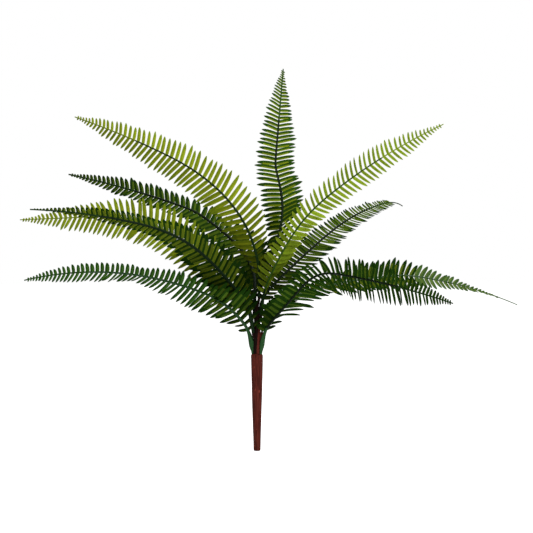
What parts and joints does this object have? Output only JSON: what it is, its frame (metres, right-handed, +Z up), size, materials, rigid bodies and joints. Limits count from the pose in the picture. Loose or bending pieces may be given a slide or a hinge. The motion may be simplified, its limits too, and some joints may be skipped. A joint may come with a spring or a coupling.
{
  "type": "artificial fern bush",
  "caption": "Artificial sword fern bush: arching green fronds with comb-like leaflets, seated on pegs above a tapered brown stem with a flat foot.",
  "frame": {"origin": "middle of the flat cut under the stem, at ground level", "axes": "+Z up along the stem; the pictured side faces -Y, with +X to its right"},
  "size_m": [0.6588, 0.4856, 0.5192],
  "materials": {
    "stem_brown": "satin, streaked",
    "core_brown": "satin",
    "leaf_dark": "satin moulded plastic",
    "leaf_mid": "satin moulded plastic",
    "leaf_light": "satin moulded plastic"
  },
  "bodies": {
    "root": {"stem": "stem_brown", "core": "core_brown", "frond_low_left_base": "leaf_dark", "frond_low_left_tip": "leaf_dark", "frond_low_right_base": "leaf_mid", "frond_low_right_tip": "leaf_mid", "frond_upper_right": "leaf_light", "frond_upper_left_base": "leaf_light", "frond_upper_left_tip": "leaf_light", "frond_mid_left": "leaf_mid", "frond_top": "leaf_mid", "frond_back_left": "leaf_dark", "frond_long_left_base": "leaf_light", "frond_long_left_tip": "leaf_light", "frond_back_right": "leaf_dark", "frond_long_right_base": "leaf_mid", "frond_long_right_tip": "leaf_mid"}
  },
  "joints": []
}
